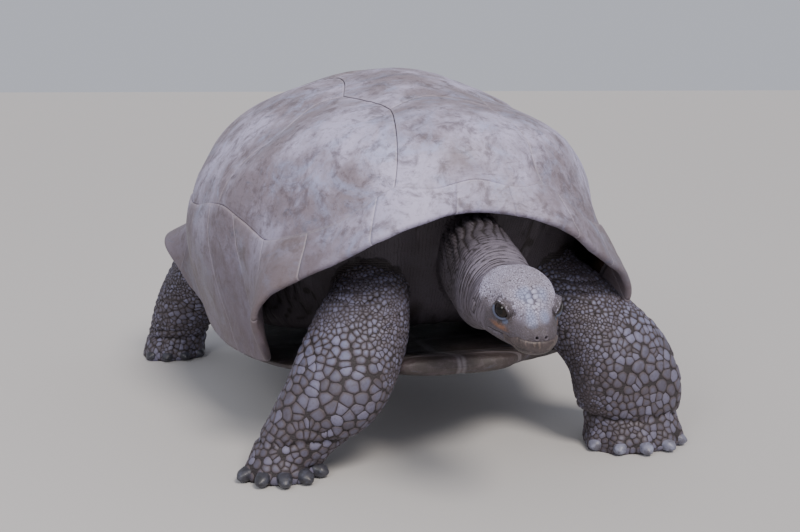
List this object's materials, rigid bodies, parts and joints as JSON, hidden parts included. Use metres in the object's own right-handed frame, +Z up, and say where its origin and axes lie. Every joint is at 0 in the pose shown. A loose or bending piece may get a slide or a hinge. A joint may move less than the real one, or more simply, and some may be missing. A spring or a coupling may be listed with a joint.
{
  "type": "giant tortoise",
  "caption": "Life-size adult giant tortoise standing with its head low: high domed shell with flared rims, columnar legs, blunt claws, beak and short tail.",
  "frame": {"origin": "on the floor under the middle of the whole animal's box", "axes": "+X to the animal's left, +Y to its tail, +Z up; the head points along -Y"},
  "size_m": [0.9228, 1.3206, 0.669],
  "materials": {
    "carapace_horn": "worn grey-brown horn, satin where rubbed smooth",
    "plastron_horn": "scuffed dark horn, matt",
    "skin": "dry scaly hide, matt",
    "beak_horn": "smooth dark horn, satin",
    "claw_horn": "dark blue-grey horn, satin",
    "eye": "wet black, high gloss"
  },
  "bodies": {
    "root": {"carapace": "carapace_horn", "eye_left": "eye", "eye_right": "eye", "face": "skin", "front_claw_left_1": "claw_horn", "front_claw_left_2": "claw_horn", "front_claw_left_3": "claw_horn", "front_claw_left_4": "claw_horn", "front_claw_left_5": "claw_horn", "front_claw_right_1": "claw_horn", "front_claw_right_2": "claw_horn", "front_claw_right_3": "claw_horn", "front_claw_right_4": "claw_horn", "front_claw_right_5": "claw_horn", "front_foot_left": "skin", "front_foot_right": "skin", "front_leg_left": "skin", "front_leg_right": "skin", "hind_claw_left_1": "claw_horn", "hind_claw_left_2": "claw_horn", "hind_claw_left_3": "claw_horn", "hind_claw_left_4": "claw_horn", "hind_claw_right_1": "claw_horn", "hind_claw_right_2": "claw_horn", "hind_claw_right_3": "claw_horn", "hind_claw_right_4": "claw_horn", "hind_foot_left": "skin", "hind_foot_right": "skin", "hind_leg_left": "skin", "hind_leg_right": "skin", "jaw": "skin", "lower_beak": "beak_horn", "neck": "skin", "plastron": "plastron_horn", "skull": "skin", "tail": "skin", "trunk": "skin", "upper_beak": "beak_horn"}
  },
  "joints": []
}
